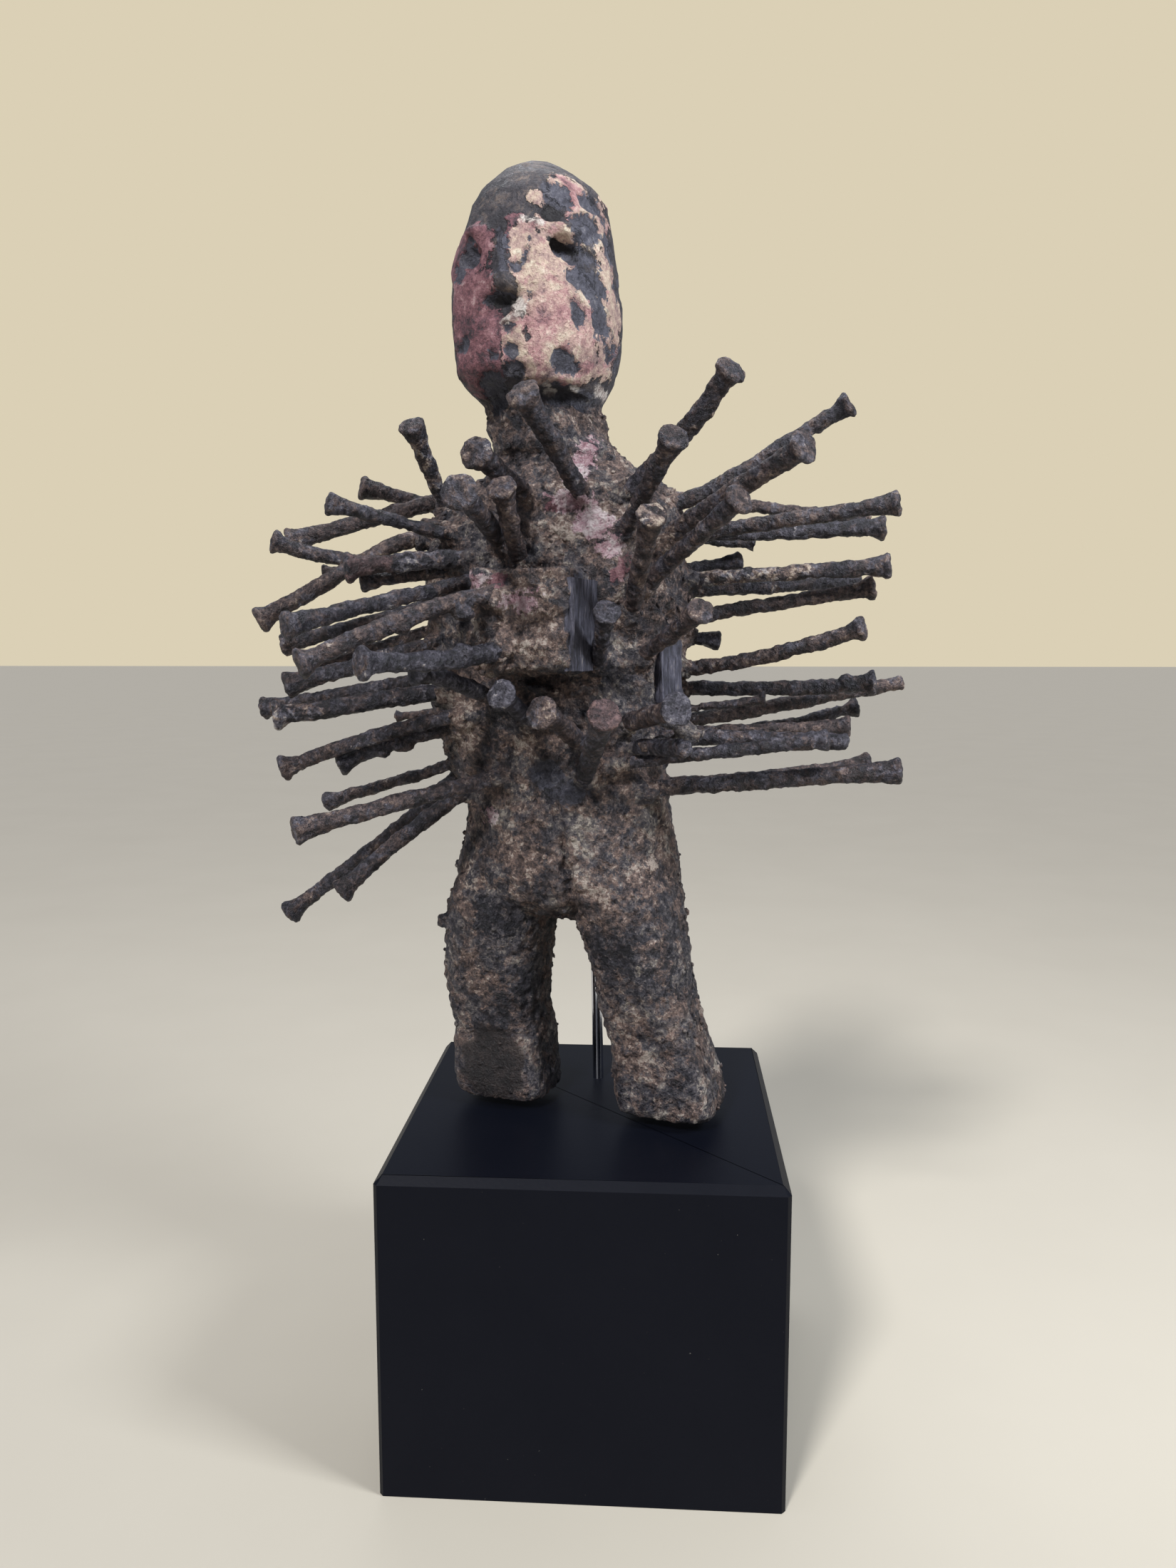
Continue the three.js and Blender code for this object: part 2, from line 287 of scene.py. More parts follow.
def makeStudio():
    bpy.ops.mesh.primitive_plane_add(size=studio["floorSize"], location=(0, 0, studio["floorHeight"]))
    floor = bpy.context.object
    floor.name = "studioFloor"
    material, tree, shader = newMaterial("pale floor")
    grey = cloud(tree, place(tree), 180, 3)
    shader.inputs["Roughness"].default_value = 0.75
    colour = over(tree, grey, tone(*studio["floor"]), tone(*studio["floorShade"]))
    tree.links.new(colour, shader.inputs["Base Color"])
    floor.data.materials.append(material)

    # the wall's colour is only seen, the light of the room is neutral
    world = bpy.data.worlds.new("pale studio")
    world.use_nodes = True
    tree = world.node_tree
    glow = tree.nodes["Background"]
    glow.inputs["Color"].default_value = tone(*studio["glow"])
    glow.inputs["Strength"].default_value = studio["glowStrength"]
    wall = add(tree, "Background", {"Color": tone(*studio["wall"]), "Strength": 1.0})
    mix = add(tree, "MixShader", {0: add(tree, "LightPath").outputs["Is Camera Ray"]})
    tree.links.new(glow.outputs[0], mix.inputs[1])
    tree.links.new(wall.outputs[0], mix.inputs[2])
    tree.links.new(mix.outputs[0], tree.nodes["World Output"].inputs["Surface"])
    scene.world = world

    def aimed(lamp, direction, colour, power):
        lamp.data.color = colour
        lamp.data.energy = power
        lamp.rotation_mode = "QUATERNION"
        lamp.rotation_quaternion = direction.to_track_quat("-Z", "Y")

    for spot, size, power, colour in studio["lamps"]:
        bpy.ops.object.light_add(type="AREA", location=spot)
        bpy.context.object.data.size = size
        aimed(bpy.context.object, Vector((0, 0, studio["aimHeight"])) - Vector(spot), colour, power)
    away, spread, power, colour = studio["sun"]
    bpy.ops.object.light_add(type="SUN", location=away)
    bpy.context.object.data.angle = math.radians(spread)
    aimed(bpy.context.object, -Vector(away), colour, power)
    scene.view_settings.view_transform = "Standard"


makeCamera()
makeStudio()
print("camera, floor and light")


# How the part carries the figure: turned to its left, its sole above the block
figureTurn = math.radians(-17)
soleHeight = 0.174

carving = {
    "voxel": 0.00145,
    "keptFaces": 0.66,
    # crust that climbs each nail from where it enters, in mm
    "driven": 13,
    "collarBelow": 6,
    "collarAbove": 7,
    "collarSpread": 4.5,
    "collarSides": 9,
    # heights over the sole in mm: end of the foot, start of the torso's thick crust, start of the head
    "footTop": 36,
    "torsoFrom": 150,
    "headFrom": 374,
    # loose crumbs: how many, their size in mm, how far they stand out and between which heights
    "crumbs": 1300,
    "crumbSize": 2.3,
    "crumbLift": 0.15,
    "crumbsFrom": 3,
    "crumbsTo": 372,
    # paint stands proud of the wood where it is left and worn wood lies lower, in mm
    "paintRise": 0.9,
    "bareDrop": 0.5,
}

# The crust, coarse to fine: where it lies, its swell, middle, kind, size in metres and detail
crustLayers = [
    ("torso", 0.0042, 0.5, "CLOUDS", 0.011, {"noise_depth": 2}),
    ("crust", 0.0022, 0.5, "CLOUDS", 0.011, {"noise_depth": 2}),
    ("crust", 0.0036, 0.5, "CLOUDS", 0.0045, {"noise_depth": 3}),
    ("crust", 0.0011, 0.4, "VORONOI", 0.0035, {}),
]

# Where each colour lies: x, y, z, half width, half height in mm, and its tilt in degrees
paint = {
    "maroon": [
        (-60, -29, 619, 17, 15, 0), (-58, -36, 588, 18, 24, 0), (-56, -31, 563, 15, 18, 10),
        (-36, -40, 632, 5, 4, 0), (-38, -44, 620, 3, 12, 0), (-48, -42, 578, 8, 14, 0),
        (-16, -44, 495, 6, 4, 0), (17, -47, 464, 3, 7, -25), (-41, -71, 456, 6, 3, 0),
        (-9, -34, 515, 3, 8, -20),
    ],
    "cream": [
        (-22, -44, 613, 18, 19, 0), (-9, -27, 648, 14, 8, -40), (-25, -37, 643, 5, 5, 20),
        (-4, -24, 640, 6, 9, -30), (-14, -40, 628, 14, 3, -30), (-9, -40, 586, 22, 24, 0),
        (9, -18, 592, 8, 36, 0), (-36, -42, 574, 7, 14, 0), (-10, -36, 566, 25, 14, 0),
        (5, -14, 633, 4, 20, 0), (-32, -44, 622, 6, 9, 0), (-27, -46, 598, 9, 12, 0),
    ],
    "rose": [(-19, -45, 586, 10, 11, 0), (-24, -45, 574, 6, 6, 0), (-2, -34, 578, 6, 6, 0)],
    "pink": [
        (-3, -29, 519, 6, 16, -22), (-6, -45, 496, 13, 6, 0), (2, -47, 486, 10, 9, 0),
        (11, -48, 474, 6, 7, 0), (-30, -74, 446, 8, 5, 0), (-52, -68, 457, 6, 4, 0),
        (-53, -27, 336, 5, 4, 0),
    ],
    "slate": [
        (-41, -47, 613, 3, 17, 4), (-30, -45, 614, 2, 7, -18), (-34, -45, 608, 4, 3, -15),
        (-42, -44, 594, 9, 4, 8), (-32, -46, 596, 6, 2, -22), (-2, -27, 631, 7, 9, -20),
        (-16, -32, 646, 10, 5, -32), (-18, -36, 636, 5, 4, 0), (-8, -33, 617, 13, 4, -14),
        (-1, -35, 604, 11, 7, -15), (-5, -38, 587, 3, 7, 0), (5, -26, 589, 4, 12, 0),
        (-12, -37, 565, 7, 6, 0), (-38, -45, 580, 4, 3, 0), (-37, -42, 570, 4, 4, 0),
        (-36, -40, 561, 5, 3, 0), (-48, -23, 554, 7, 10, 0), (-58, -28, 619, 4, 8, 20),
        (-64, -29, 612, 3, 6, 10), (-62, -31, 575, 3, 3, 0), (-47, -38, 567, 3, 2, 0),
        (13, -2, 610, 2, 6, 0), (10, -12, 575, 2, 6, -8), (12, -4, 573, 1, 5, 0), (-9, -21, 552, 20, 5, -4),
        (-1, -20, 646, 6, 4, -30), (8, -15, 628, 2, 12, 10), (-2, -65, 433, 7, 25, 3),
        (-21, -41, 360, 8, 7, 0), (-10, -43, 350, 10, 5, 8), (41, -27, 412, 6, 14, -6),
    ],
    # dark patches of the crust, and painted shade: in carved grooves, hollows and cracks, under the chin
    # and below ledges
    "darkAndShade": [
        (-13, -44, 318, 3, 34, 9), (-28, -66, 464, 24, 3, 0), (-6, -68, 437, 2, 24, 0),
        (-18, -36, 636, 5, 4, 0), (-9, -21, 551, 20, 4, -4), (-42, -44, 592, 8, 3, 8),
        (-16, -37, 621, 10, 2, -22), (-26, -46, 409, 14, 3, 4), (-58, -32, 482, 17, 8, -6),
        (-89, 4, 474, 12, 6, 0), (-16, -45, 383, 21, 4, -4), (5, -49, 468, 16, 4, -5),
        (-4, -41, 501, 6, 6, 0), (21, -40, 441, 6, 3, 0), (14, -46, 456, 10, 8, 0),
        (-27, -46, 471, 6, 6, 0), (42, -28, 486, 6, 7, 0), (36, -23, 380, 14, 7, -10),
        (-77, -21, 428, 15, 6, -10), (-6, -44, 367, 6, 12, 20), (11, -48, 412, 10, 9, 0),
        (-47, -37, 392, 12, 9, 0), (-90, 3, 453, 8, 8, 0), (-46, -28, 280, 22, 14, -12),
        (-58, -28, 288, 12, 10, 0), (21, -46, 266, 30, 20, -10), (32, -44, 249, 28, 13, -8),
        (6, -42, 273, 12, 12, 0), (-37, -16, 240, 9, 18, -20), (-50, -16, 222, 16, 9, 0),
        (-16, -42, 351, 16, 8, 0), (43, -36, 276, 10, 24, -5), (-72, -15, 248, 6, 14, 0),
        (11, -44, 311, 13, 7, 0), (13, -41, 338, 12, 10, 0), (48, -35, 200, 10, 14, 0),
        (30, -40, 186, 16, 8, 0), (-30, -40, 470, 16, 6, 0),
    ],
    "ochre": [
        (-32, -75, 440, 20, 20, 0), (-18, -78, 437, 8, 16, 0), (-6, -44, 484, 14, 12, 0),
        (-29, -75, 425, 9, 8, 0), (-15, -46, 484, 10, 9, 0), (-33, -72, 414, 12, 6, 0),
        (-72, -22, 396, 9, 6, 0), (-34, -40, 376, 16, 8, 0), (-60, -28, 375, 12, 7, 0),
        (2, -42, 502, 9, 6, 0), (15, -2, 524, 9, 9, 0), (34, -36, 466, 9, 11, 0),
        (-20, -15, 540, 20, 10, 0), (4, -45, 300, 15, 9, 0), (30, -37, 304, 14, 12, 0),
        (-53, -19, 242, 16, 9, 0), (-33, -39, 315, 20, 13, 0), (20, -45, 432, 8, 6, 0),
        (21, -34, 215, 10, 8, 0), (-54, -28, 300, 12, 8, 0), (26, -36, 204, 10, 12, 0),
        (31, -39, 452, 8, 7, 0),
    ],
    "pale": [
        (-33, -46, 589, 4, 5, 0), (-37, -45, 584, 5, 2, 15), (-21, -27, 553, 3, 3, 0),
        (-7, -22, 554, 3, 3, 0), (5, -5, 557, 3, 3, 0), (-1, -15, 543, 3, 8, -5),
        (-26, -41, 631, 6, 2, -10), (-54, -66, 434, 8, 11, 0), (13, -48, 472, 8, 6, 0),
        (-5, -43, 497, 9, 6, 0), (-56, -63, 419, 6, 7, 0), (-36, -73, 457, 3, 3, 0),
        (40, -18, 329, 5, 14, 0), (33, -34, 307, 6, 9, 0), (-68, -8, 206, 4, 4, 0),
        (60, -42, 188, 4, 17, 3), (46, -41, 179, 13, 3, 0), (68, -16, 199, 4, 14, 10),
        (-75, 3, 303, 4, 14, 10), (-64, -22, 302, 5, 14, 0), (14, -46, 240, 14, 5, -20),
        (34, -42, 262, 12, 5, 30),
    ],
    "smooth": [(-55, -14, 194, 20, 23, 0)],
}

# Carved relief: x, y, z, half width, half height, tilt, and how far out or in it is pushed, all in mm
relief = [
    (-22, -39, 629, 9, 2, -18, 1.7), (-5, -33, 623, 8, 2, -25, 1.6), (-15, -37, 621, 8, 2.5, -18, -1.6),
    (-18, -36, 636, 6, 5, 0, -3.0), (-43, -44, 592, 9, 3.5, 8, -3.4), (-41, -49, 613, 2.5, 16, 4, 1.3),
    (-37, -50, 600, 6, 4, 0, 2.2), (-46, -42, 587, 9, 2, 0, -1.8), (-9, -21, 549, 26, 3.5, -4, -3.2),
    (-7, -32, 611, 8, 4, -10, -1.2), (13, -2, 610, 2, 6, 0, -1.6), (10, -12, 575, 2, 6, -8, -1.6),
    (-56, -31, 617, 7, 8, 10, -1.4), (-22, -17, 523, 34, 2, -3, -2.2), (-22, -17, 529, 34, 4, -3, 1.2),
    (-14, -43, 329, 2.5, 22, 10, -3.0), (-10, -45, 303, 3, 20, 8, -4.4), (-28, -66, 464, 24, 2, 0, -2.4),
    (44, -26, 439, 4, 4, 0, -5.5), (36, -34, 412, 1.6, 14, -4, -2.5), (-26, -46, 408, 16, 3, 4, -1.6),
    (14, -46, 454, 8, 7, 0, 1.4), (-48, -30, 212, 24, 2, 0, -1.4), (35, -34, 213, 22, 3, 8, 1.6),
]

# Boards, peels and stubs that are one with the carving: centre, half sizes in mm, turn and tilt in degrees
boards = [
    ((-25, -49, 404), (10, 3, 1), -10, 14),
    ((-78, -9, 274), (7, 3, 3.2), 0, 8),
    ((-80, -15, 489), (9, 3, 1.5), -20, 12),
    ((46, -56, 385), (13, 3, 3), 25, 22),
    ((40, -54, 377), (14, 2.5, 2.5), 12, -10),
    ((-20, -46, 388), (16, 4, 2), 0, 0),
]


def inFigure(points):
    # world metres to the figure's own x, y and height in millimetres
    cos, sin = math.cos(figureTurn), math.sin(figureTurn)
    x, y, z = points.T
    return np.stack([x * cos + y * sin, -x * sin + y * cos, z - soleHeight], axis=1) / mm


deepest = 12  # no point counts as further inside a patch than this, in mm


def patchField(points, patches, depth=22):
    # how far inside the nearest patch a point lies, in millimetres
    inside = np.full(len(points), -40.0)
    for x, y, z, wide, high, tilt in patches:
        dx, dy, dz = (points / mm - (x, y, z)).T
        cos, sin = math.cos(math.radians(tilt)), math.sin(math.radians(tilt))
        along = (dx * cos + dz * sin) / wide
        across = (dz * cos - dx * sin) / high
        reach = np.sqrt(along**2 + across**2 + (dy / depth) ** 2)
        inside = np.maximum(inside, (1 - reach) * min(wide, high, deepest))
    return inside


def reliefHeight(points):
    # millimetres that the relief adds, with a soft shoulder round each patch
    height = np.zeros(len(points))
    for x, y, z, wide, high, tilt, depth in relief:
        patch = patchField(points, [(x, y, z, wide, high, tilt)]) / min(wide, high, deepest)
        height += depth * np.clip(patch + 0.25, 0, 1) ** 0.7
    return height


def roughField(points, size, seed, octaves=3):
    # fractal noise about zero, its blobs size millimetres across
    shift = Vector((seed * 7.3, seed * 3.1, seed * 5.7))
    scale = 1000 / size
    return np.array([noise.fractal(Vector(p) * scale + shift, 0.9, 2.1, octaves) for p in points])


def store(piece, name, values):
    layer = piece.data.attributes.new(name, "FLOAT", "POINT")
    layer.data.foreach_set("value", np.asarray(values, dtype=np.float32))


def weigh(piece, name, weights):
    # vertex group in twenty steps
    group = piece.vertex_groups.new(name=name)
    steps = np.clip(np.round(np.asarray(weights) * 20), 0, 20).astype(int)
    for step in range(1, 21):
        chosen = np.nonzero(steps == step)[0].tolist()
        if chosen:
            group.add(chosen, step / 20, "REPLACE")


nailSides = 6
cornerReach = 1.08  # the solids' corners stand this much wider than the round shaft


def nailFacts(node):
    # a nail's tip, the direction of its driven end, its shaft's radius and its head, from its solid
    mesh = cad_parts[node].data
    points = np.unique(np.round([v.co for v in mesh.vertices], 6), axis=0)
    middle = points.mean(axis=0)
    axis = np.linalg.svd(points - middle)[2][0]
    order = points[np.argsort((points - middle) @ axis)]

    def ring(corners):
        centre = corners.mean(axis=0)
        return Vector(centre), np.linalg.norm(corners - centre, axis=1).mean()

    (tip, point), (taper, shaft) = ring(order[:nailSides]), ring(order[nailSides : 2 * nailSides])
    head, rimHighlight = ring(order[-nailSides:])
    if point > rimHighlight:
        tip, head = head, tip
        taper, shaft = ring(order[-2 * nailSides : -nailSides])
    return tip, (taper - tip).normalized(), shaft / cornerReach, head


nails = {name: nailFacts(name) for name in sorted(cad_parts) if name.startswith("nail_")}


def scatterCrumbs(figure, dice, height):
    # loose crumbs of crust, half sunk in the surface
    bpy.ops.mesh.primitive_ico_sphere_add(subdivisions=1, radius=1)
    stone = bpy.context.object
    corners, faces = pointsOf(stone), np.array([face.vertices[:] for face in stone.data.polygons])
    bpy.data.objects.remove(stone)
    spots, outward = pointsOf(figure), normalsOf(figure)
    able = np.nonzero((height < carving["crumbsTo"]) & (height > carving["crumbsFrom"]))[0].tolist()
    points, triangles = [], []
    for k, vertex in enumerate(dice.sample(able, carving["crumbs"])):
        size = carving["crumbSize"] * dice.uniform(0.5, 1.0) ** 1.5 * mm
        upright = Vector(outward[vertex]).to_track_quat("Z", "Y").to_matrix()
        turn = upright @ Matrix.Rotation(dice.uniform(0, 6), 3, "Z")
        shape = np.array([dice.uniform(0.7, 1.3), dice.uniform(0.5, 0.9), dice.uniform(0.3, 0.7)]) * size
        middle = spots[vertex] + outward[vertex] * size * carving["crumbLift"]
        points.append((corners * shape) @ np.array(turn).T + middle)
        triangles.append(faces + k * len(corners))
    mesh = bpy.data.meshes.new("crumbs")
    mesh.from_pydata(np.concatenate(points).tolist(), [], np.concatenate(triangles).tolist())
    crumbs = bpy.data.objects.new("crumbs", mesh)
    scene.collection.objects.link(crumbs)
    pick(figure)
    crumbs.select_set(True)
    bpy.ops.object.join()


def makeFigure():
    figure = copyOf("figure", "carved_figure")
    dice = random.Random(4)
    extras = []
    # crust that climbs each nail where it enters the wood
    for tip, along, shaft, _ in nails.values():
        depth = (carving["collarBelow"] + carving["collarAbove"] * dice.uniform(0.6, 1.1)) * mm
        start = tip + along * (carving["driven"] - carving["collarBelow"]) * mm
        bpy.ops.mesh.primitive_cone_add(
            vertices=carving["collarSides"],
            radius1=shaft + carving["collarSpread"] * dice.uniform(0.75, 1.35) * mm,
            radius2=shaft + dice.uniform(0.5, 1.2) * mm,
            depth=depth,
            location=start + along * depth / 2,
            rotation=along.to_track_quat("Z", "Y").to_euler(),
        )
        extras.append(bpy.context.object)
    for at, half, turn, tilt in boards:
        bpy.ops.mesh.primitive_cube_add(
            size=2 * mm,
            location=Vector(at) * mm,
            rotation=(0, math.radians(tilt), math.radians(turn)),
            scale=half,
        )
        extras.append(bpy.context.object)
    pick(figure)
    for extra in extras:
        extra.select_set(True)
    bpy.ops.object.join()
    applied(figure, "REMESH", mode="VOXEL", voxel_size=carving["voxel"])
    applied(figure, "SMOOTH", factor=0.5, iterations=2)

    points = pointsOf(figure)
    height = inFigure(points)[:, 2]
    head = np.clip((height - carving["headFrom"]) / 8, 0, 1)
    smooth = np.clip(patchField(points, paint["smooth"]) / 3, 0, 1)
    foot = 1 - np.clip((height - carving["footTop"]) / 14, 0, 1)
    weigh(figure, "crust", (1 - 0.8 * head) * (1 - 0.85 * smooth) * (1 - 0.35 * foot))
    weigh(figure, "torso", np.clip((height - carving["torsoFrom"]) / 20, 0, 1) * (1 - head))
    for group, swell, middle, kind, size, detail in crustLayers:
        lumps = lumpTexture(group + " lumps", kind, size, **detail)
        applied(figure, "DISPLACE", texture=lumps, strength=swell, mid_level=middle, vertex_group=group)

    scatterCrumbs(figure, dice, height)
    points = pointsOf(figure)
    height = inFigure(points)[:, 2]
    head = np.clip((height - carving["headFrom"]) / 8, 0, 1)

    # ragged edges of the paint, raised where it still sits on the wood
    edge = roughField(points, 7, 1) * 2.4 + roughField(points, 2.5, 2, 2) * 0.9
    layers = {name: patchField(points, patches) + edge for name, patches in paint.items()}
    paintTop = np.clip(np.maximum(layers["cream"], layers["maroon"]), -1, 1) * 0.5 + 0.5
    bare = np.clip(layers["slate"], -0.6, 0.6) / 1.2 + 0.5
    skin = carving["paintRise"] * paintTop * (1 - bare) - carving["bareDrop"] * bare
    rise = skin * head + reliefHeight(points)
    setPoints(figure, points + normalsOf(figure) * (rise * mm)[:, None])
    for name, value in layers.items():
        store(figure, name, value)
    store(figure, "head", head)
    figure.vertex_groups.clear()
    applied(figure, "DECIMATE", ratio=carving["keptFaces"])
    smoothSides(figure)
    return figure


def carvedWood():
    material, tree, shader = newMaterial("crusted carved wood")
    here = place(tree)
    broad = cloud(tree, here, 30, 4, 0.6, 0.4, 1)
    middle = cloud(tree, here, 11, 5, 0.65, 0.5, 2)
    small = cloud(tree, here, 3.4, 4, 0.7, 0.4, 3)
    grain = cloud(tree, here, 1.5, 3, 0.7, 0.2, 4)
    spots = cloud(tree, here, 7.5, 6, 0.78, 0.8, 5)
    grit = cloud(tree, here, 2.2, 3, 0.6, 0, 6)
    hue = cloud(tree, here, 16, 5, 0.7, 0.6, 7)
    scale = flakes(tree, here, 5.5)
    chip = flakes(tree, here, 2.4)
    head = field(tree, "head")
    frayed = total(tree, centred(tree, small, 5.0), centred(tree, grain, 3.0), centred(tree, chip, 1.2))
    mottle = total(tree, centred(tree, spots, 5.0), centred(tree, grit, 2.0), centred(tree, middle, 2.0))
    fine = total(
        tree,
        centred(tree, small, 0.9),
        centred(tree, grain, 0.7),
        centred(tree, chip, 0.2),
        centred(tree, scale, 0.15),
    )

    def layer(name, width=0.4, lift=0.0):
        # paint with a crisp ragged edge
        return between(tree, maths(tree, "ADD", field(tree, name), frayed), lift - width, lift + width)

    def stainAndShade(name, reach, bias, amount):
        # a stain that breaks up into islands toward its edge, as a change of the crust's value; for the
        # layer of dark patches it is partly painted shade
        value = total(tree, maths(tree, "MULTIPLY", field(tree, name), 1 / reach), mottle)
        return maths(tree, "MULTIPLY", between(tree, value, bias - 0.2, bias + 0.2), amount)

    # crust, from near black over slate and grey-brown to tan and pale crumbs
    depth = total(
        tree,
        fine,
        0.55,
        centred(tree, broad, 0.6),
        centred(tree, middle, 0.7),
        stainAndShade("ochre", 10, 0.4, 0.11),
        stainAndShade("pale", 7, 0.55, 0.24),
        # the dark layer darkens the crust: its dark patches, and painted shade in grooves, cracks and under
        # ledges
        stainAndShade("darkAndShade", 8, 0.5, -0.17),
    )
    cold = shades(
        tree, depth,
        (0.24, (24, 24, 32)), (0.38, (46, 45, 55)), (0.5, (76, 73, 80)), (0.6, (102, 97, 100)),
        (0.7, (128, 121, 118)), (0.85, (186, 178, 168)),
    )
    warm = shades(
        tree, depth,
        (0.24, (28, 25, 28)), (0.38, (54, 46, 48)), (0.5, (85, 73, 72)), (0.6, (112, 95, 90)),
        (0.7, (138, 115, 106)), (0.85, (190, 176, 166)),
    )
    # less warmth from the ochre stains and from the dark layer, which is partly painted shade
    warmStainAndShade = total(tree, stainAndShade("ochre", 10, 0.4, 0.14), stainAndShade("darkAndShade", 8, 0.5, -0.08))
    warmth = total(tree, hue, warmStainAndShade, centred(tree, scale, 0.1))
    crust = over(tree, between(tree, warmth, 0.42, 0.56), cold, warm)

    # skin of the head: dark worn crown, then the paint layers
    uneven = total(tree, centred(tree, middle, 0.9), centred(tree, broad, 0.5))
    worn = total(tree, maths(tree, "MULTIPLY", fine, 0.6), 0.43, uneven)
    crown = shades(
        tree, worn,
        (0.3, (40, 38, 45)), (0.44, (60, 56, 62)), (0.54, (84, 76, 76)), (0.66, (114, 101, 94)),
        (0.8, (140, 122, 108)),
    )
    colour = over(tree, head, crust, crown)
    layered = total(tree, maths(tree, "MULTIPLY", fine, 0.65), 0.52, uneven)
    maroon = shades(
        tree, layered,
        (0.28, (48, 40, 48)), (0.4, (84, 58, 66)), (0.52, (116, 76, 84)), (0.64, (142, 100, 106)),
        (0.82, (178, 148, 150)),
    )
    colour = over(tree, layer("maroon"), colour, maroon)
    cream = shades(
        tree, layered,
        (0.24, (84, 68, 72)), (0.36, (140, 116, 114)), (0.5, (176, 150, 140)), (0.62, (194, 174, 156)),
        (0.8, (216, 206, 188)),
    )
    blush = shades(
        tree, layered,
        (0.24, (84, 60, 68)), (0.4, (144, 104, 108)), (0.56, (176, 134, 134)), (0.76, (208, 184, 174)),
    )
    cream = over(tree, between(tree, hue, 0.5, 0.62), cream, blush)
    cream = over(tree, maths(tree, "MULTIPLY", layer("rose", 3.5), 0.6), cream, blush)
    colour = over(tree, layer("cream"), colour, cream)
    pink = shades(
        tree, total(tree, layered, 0.04),
        (0.3, (110, 76, 84)), (0.44, (158, 118, 128)), (0.58, (192, 160, 168)), (0.74, (222, 208, 210)),
    )
    pinkValue = total(tree, maths(tree, "MULTIPLY", field(tree, "pink"), 0.2), mottle)
    colour = over(tree, between(tree, pinkValue, 0.0, 0.25), colour, pink)
    slate = shades(
        tree, total(tree, maths(tree, "MULTIPLY", fine, 0.7), 0.5, centred(tree, middle, 0.6)),
        (0.3, (38, 38, 48)), (0.48, (62, 62, 74)), (0.62, (84, 84, 96)), (0.8, (128, 126, 132)),
    )
    slateMask = layer("slate")
    colour = over(tree, slateMask, colour, slate)
    # near black on the head: painted shade in the carved hollows and grooves of the face and under the chin
    paintedShadeMask = maths(tree, "MULTIPLY", layer("darkAndShade"), head)
    colour = over(tree, paintedShadeMask, colour, tone(28, 26, 31))
    headPale = maths(tree, "MULTIPLY", layer("pale", 1.0, 0.5), head)
    white = shades(tree, layered, (0.34, (128, 112, 110)), (0.5, (196, 186, 180)), (0.66, (226, 220, 214)))
    colour = over(tree, headPale, colour, white)
    brown = shades(
        tree, worn,
        (0.3, (38, 34, 36)), (0.5, (58, 50, 50)), (0.66, (80, 70, 66)), (0.8, (112, 100, 92)),
    )
    colour = over(tree, layer("smooth", 1.2, 1), colour, brown)
    tree.links.new(colour, shader.inputs["Base Color"])

    tree.links.new(ranged(tree, small, 0.35, 0.65, 0.4, 0.8), shader.inputs["Roughness"])
    shader.inputs["Specular IOR Level"].default_value = 0.5
    edgeStep = maths(tree, "SUBTRACT", maths(tree, "MAXIMUM", layer("cream"), layer("maroon")), slateMask)
    rugged = maths(tree, "SUBTRACT", 1.0, maths(tree, "MULTIPLY", head, 0.68))
    bumped(tree, shader, [
        (6.0, maths(tree, "MULTIPLY", spots, rugged)),
        (5.0, maths(tree, "MULTIPLY", small, rugged)),
        (1.1, maths(tree, "MULTIPLY", scale, rugged)),
        (0.7, maths(tree, "MULTIPLY", chip, rugged)),
        (2.6, maths(tree, "MULTIPLY", grain, rugged)),
        (0.9, edgeStep),
    ])
    return material


# Two split boards that stand on the crust: centre, half sizes in mm, turn and tilt in degrees
planks = {
    "pack_side_board": ((-1.5, -64, 435), (2.6, 16, 22), -17, 0),
    "hip_board": ((41, -27, 412), (2.6, 8, 16), -41, -3),
}
splits = {
    "cuts": 11,
    "size": 0.006,
    "depth": 0.0022,
}


def slateWood():
    material, tree, shader = newMaterial("split slate-grey board")
    along = place(tree, (1, 1, 0.12))
    fibre = cloud(tree, along, 1.6, 5, 0.7, 0.2, 1)
    streak = cloud(tree, along, 5, 4, 0.6, 0.4, 2)
    stains = cloud(tree, place(tree), 9, 5, 0.7, 0.5, 3)
    value = total(
        tree,
        0.5,
        centred(tree, fibre, 1.4),
        centred(tree, streak, 0.8),
        centred(tree, stains, 0.6),
    )
    colour = shades(
        tree, value,
        (0.28, (29, 29, 37)), (0.45, (48, 48, 60)), (0.58, (68, 68, 82)), (0.72, (94, 93, 105)),
        (0.86, (136, 128, 122)),
    )
    tree.links.new(colour, shader.inputs["Base Color"])
    tree.links.new(ranged(tree, streak, 0.35, 0.65, 0.5, 0.8), shader.inputs["Roughness"])
    bumped(tree, shader, [(1.4, fibre), (1.2, streak), (0.8, stains)])
    return material


def makePlank(name, facts, wood):
    centre, half, turn, tilt = facts
    bpy.ops.mesh.primitive_cube_add(
        size=2 * mm,
        location=Vector(centre) * mm,
        rotation=(0, math.radians(tilt), math.radians(turn)),
        scale=half,
    )
    plank = bpy.context.object
    plank.name = name
    bpy.ops.object.transform_apply(location=True, rotation=True, scale=True)
    pick(plank, "EDIT")
    bpy.ops.mesh.select_all(action="SELECT")
    bpy.ops.mesh.subdivide(number_cuts=splits["cuts"])
    bpy.ops.object.mode_set(mode="OBJECT")
    rough = lumpTexture(name + " splits", "CLOUDS", splits["size"], noise_depth=3)
    applied(plank, "DISPLACE", texture=rough, strength=splits["depth"], mid_level=0.5)
    smoothSides(plank, 35)
    finished(plank, wood, "carved_wood")


finished(makeFigure(), carvedWood(), "carved_wood", "figure")
boardWood = slateWood()
for plankName, plankFacts in planks.items():
    makePlank(plankName, plankFacts, boardWood)
print("figure and boards")


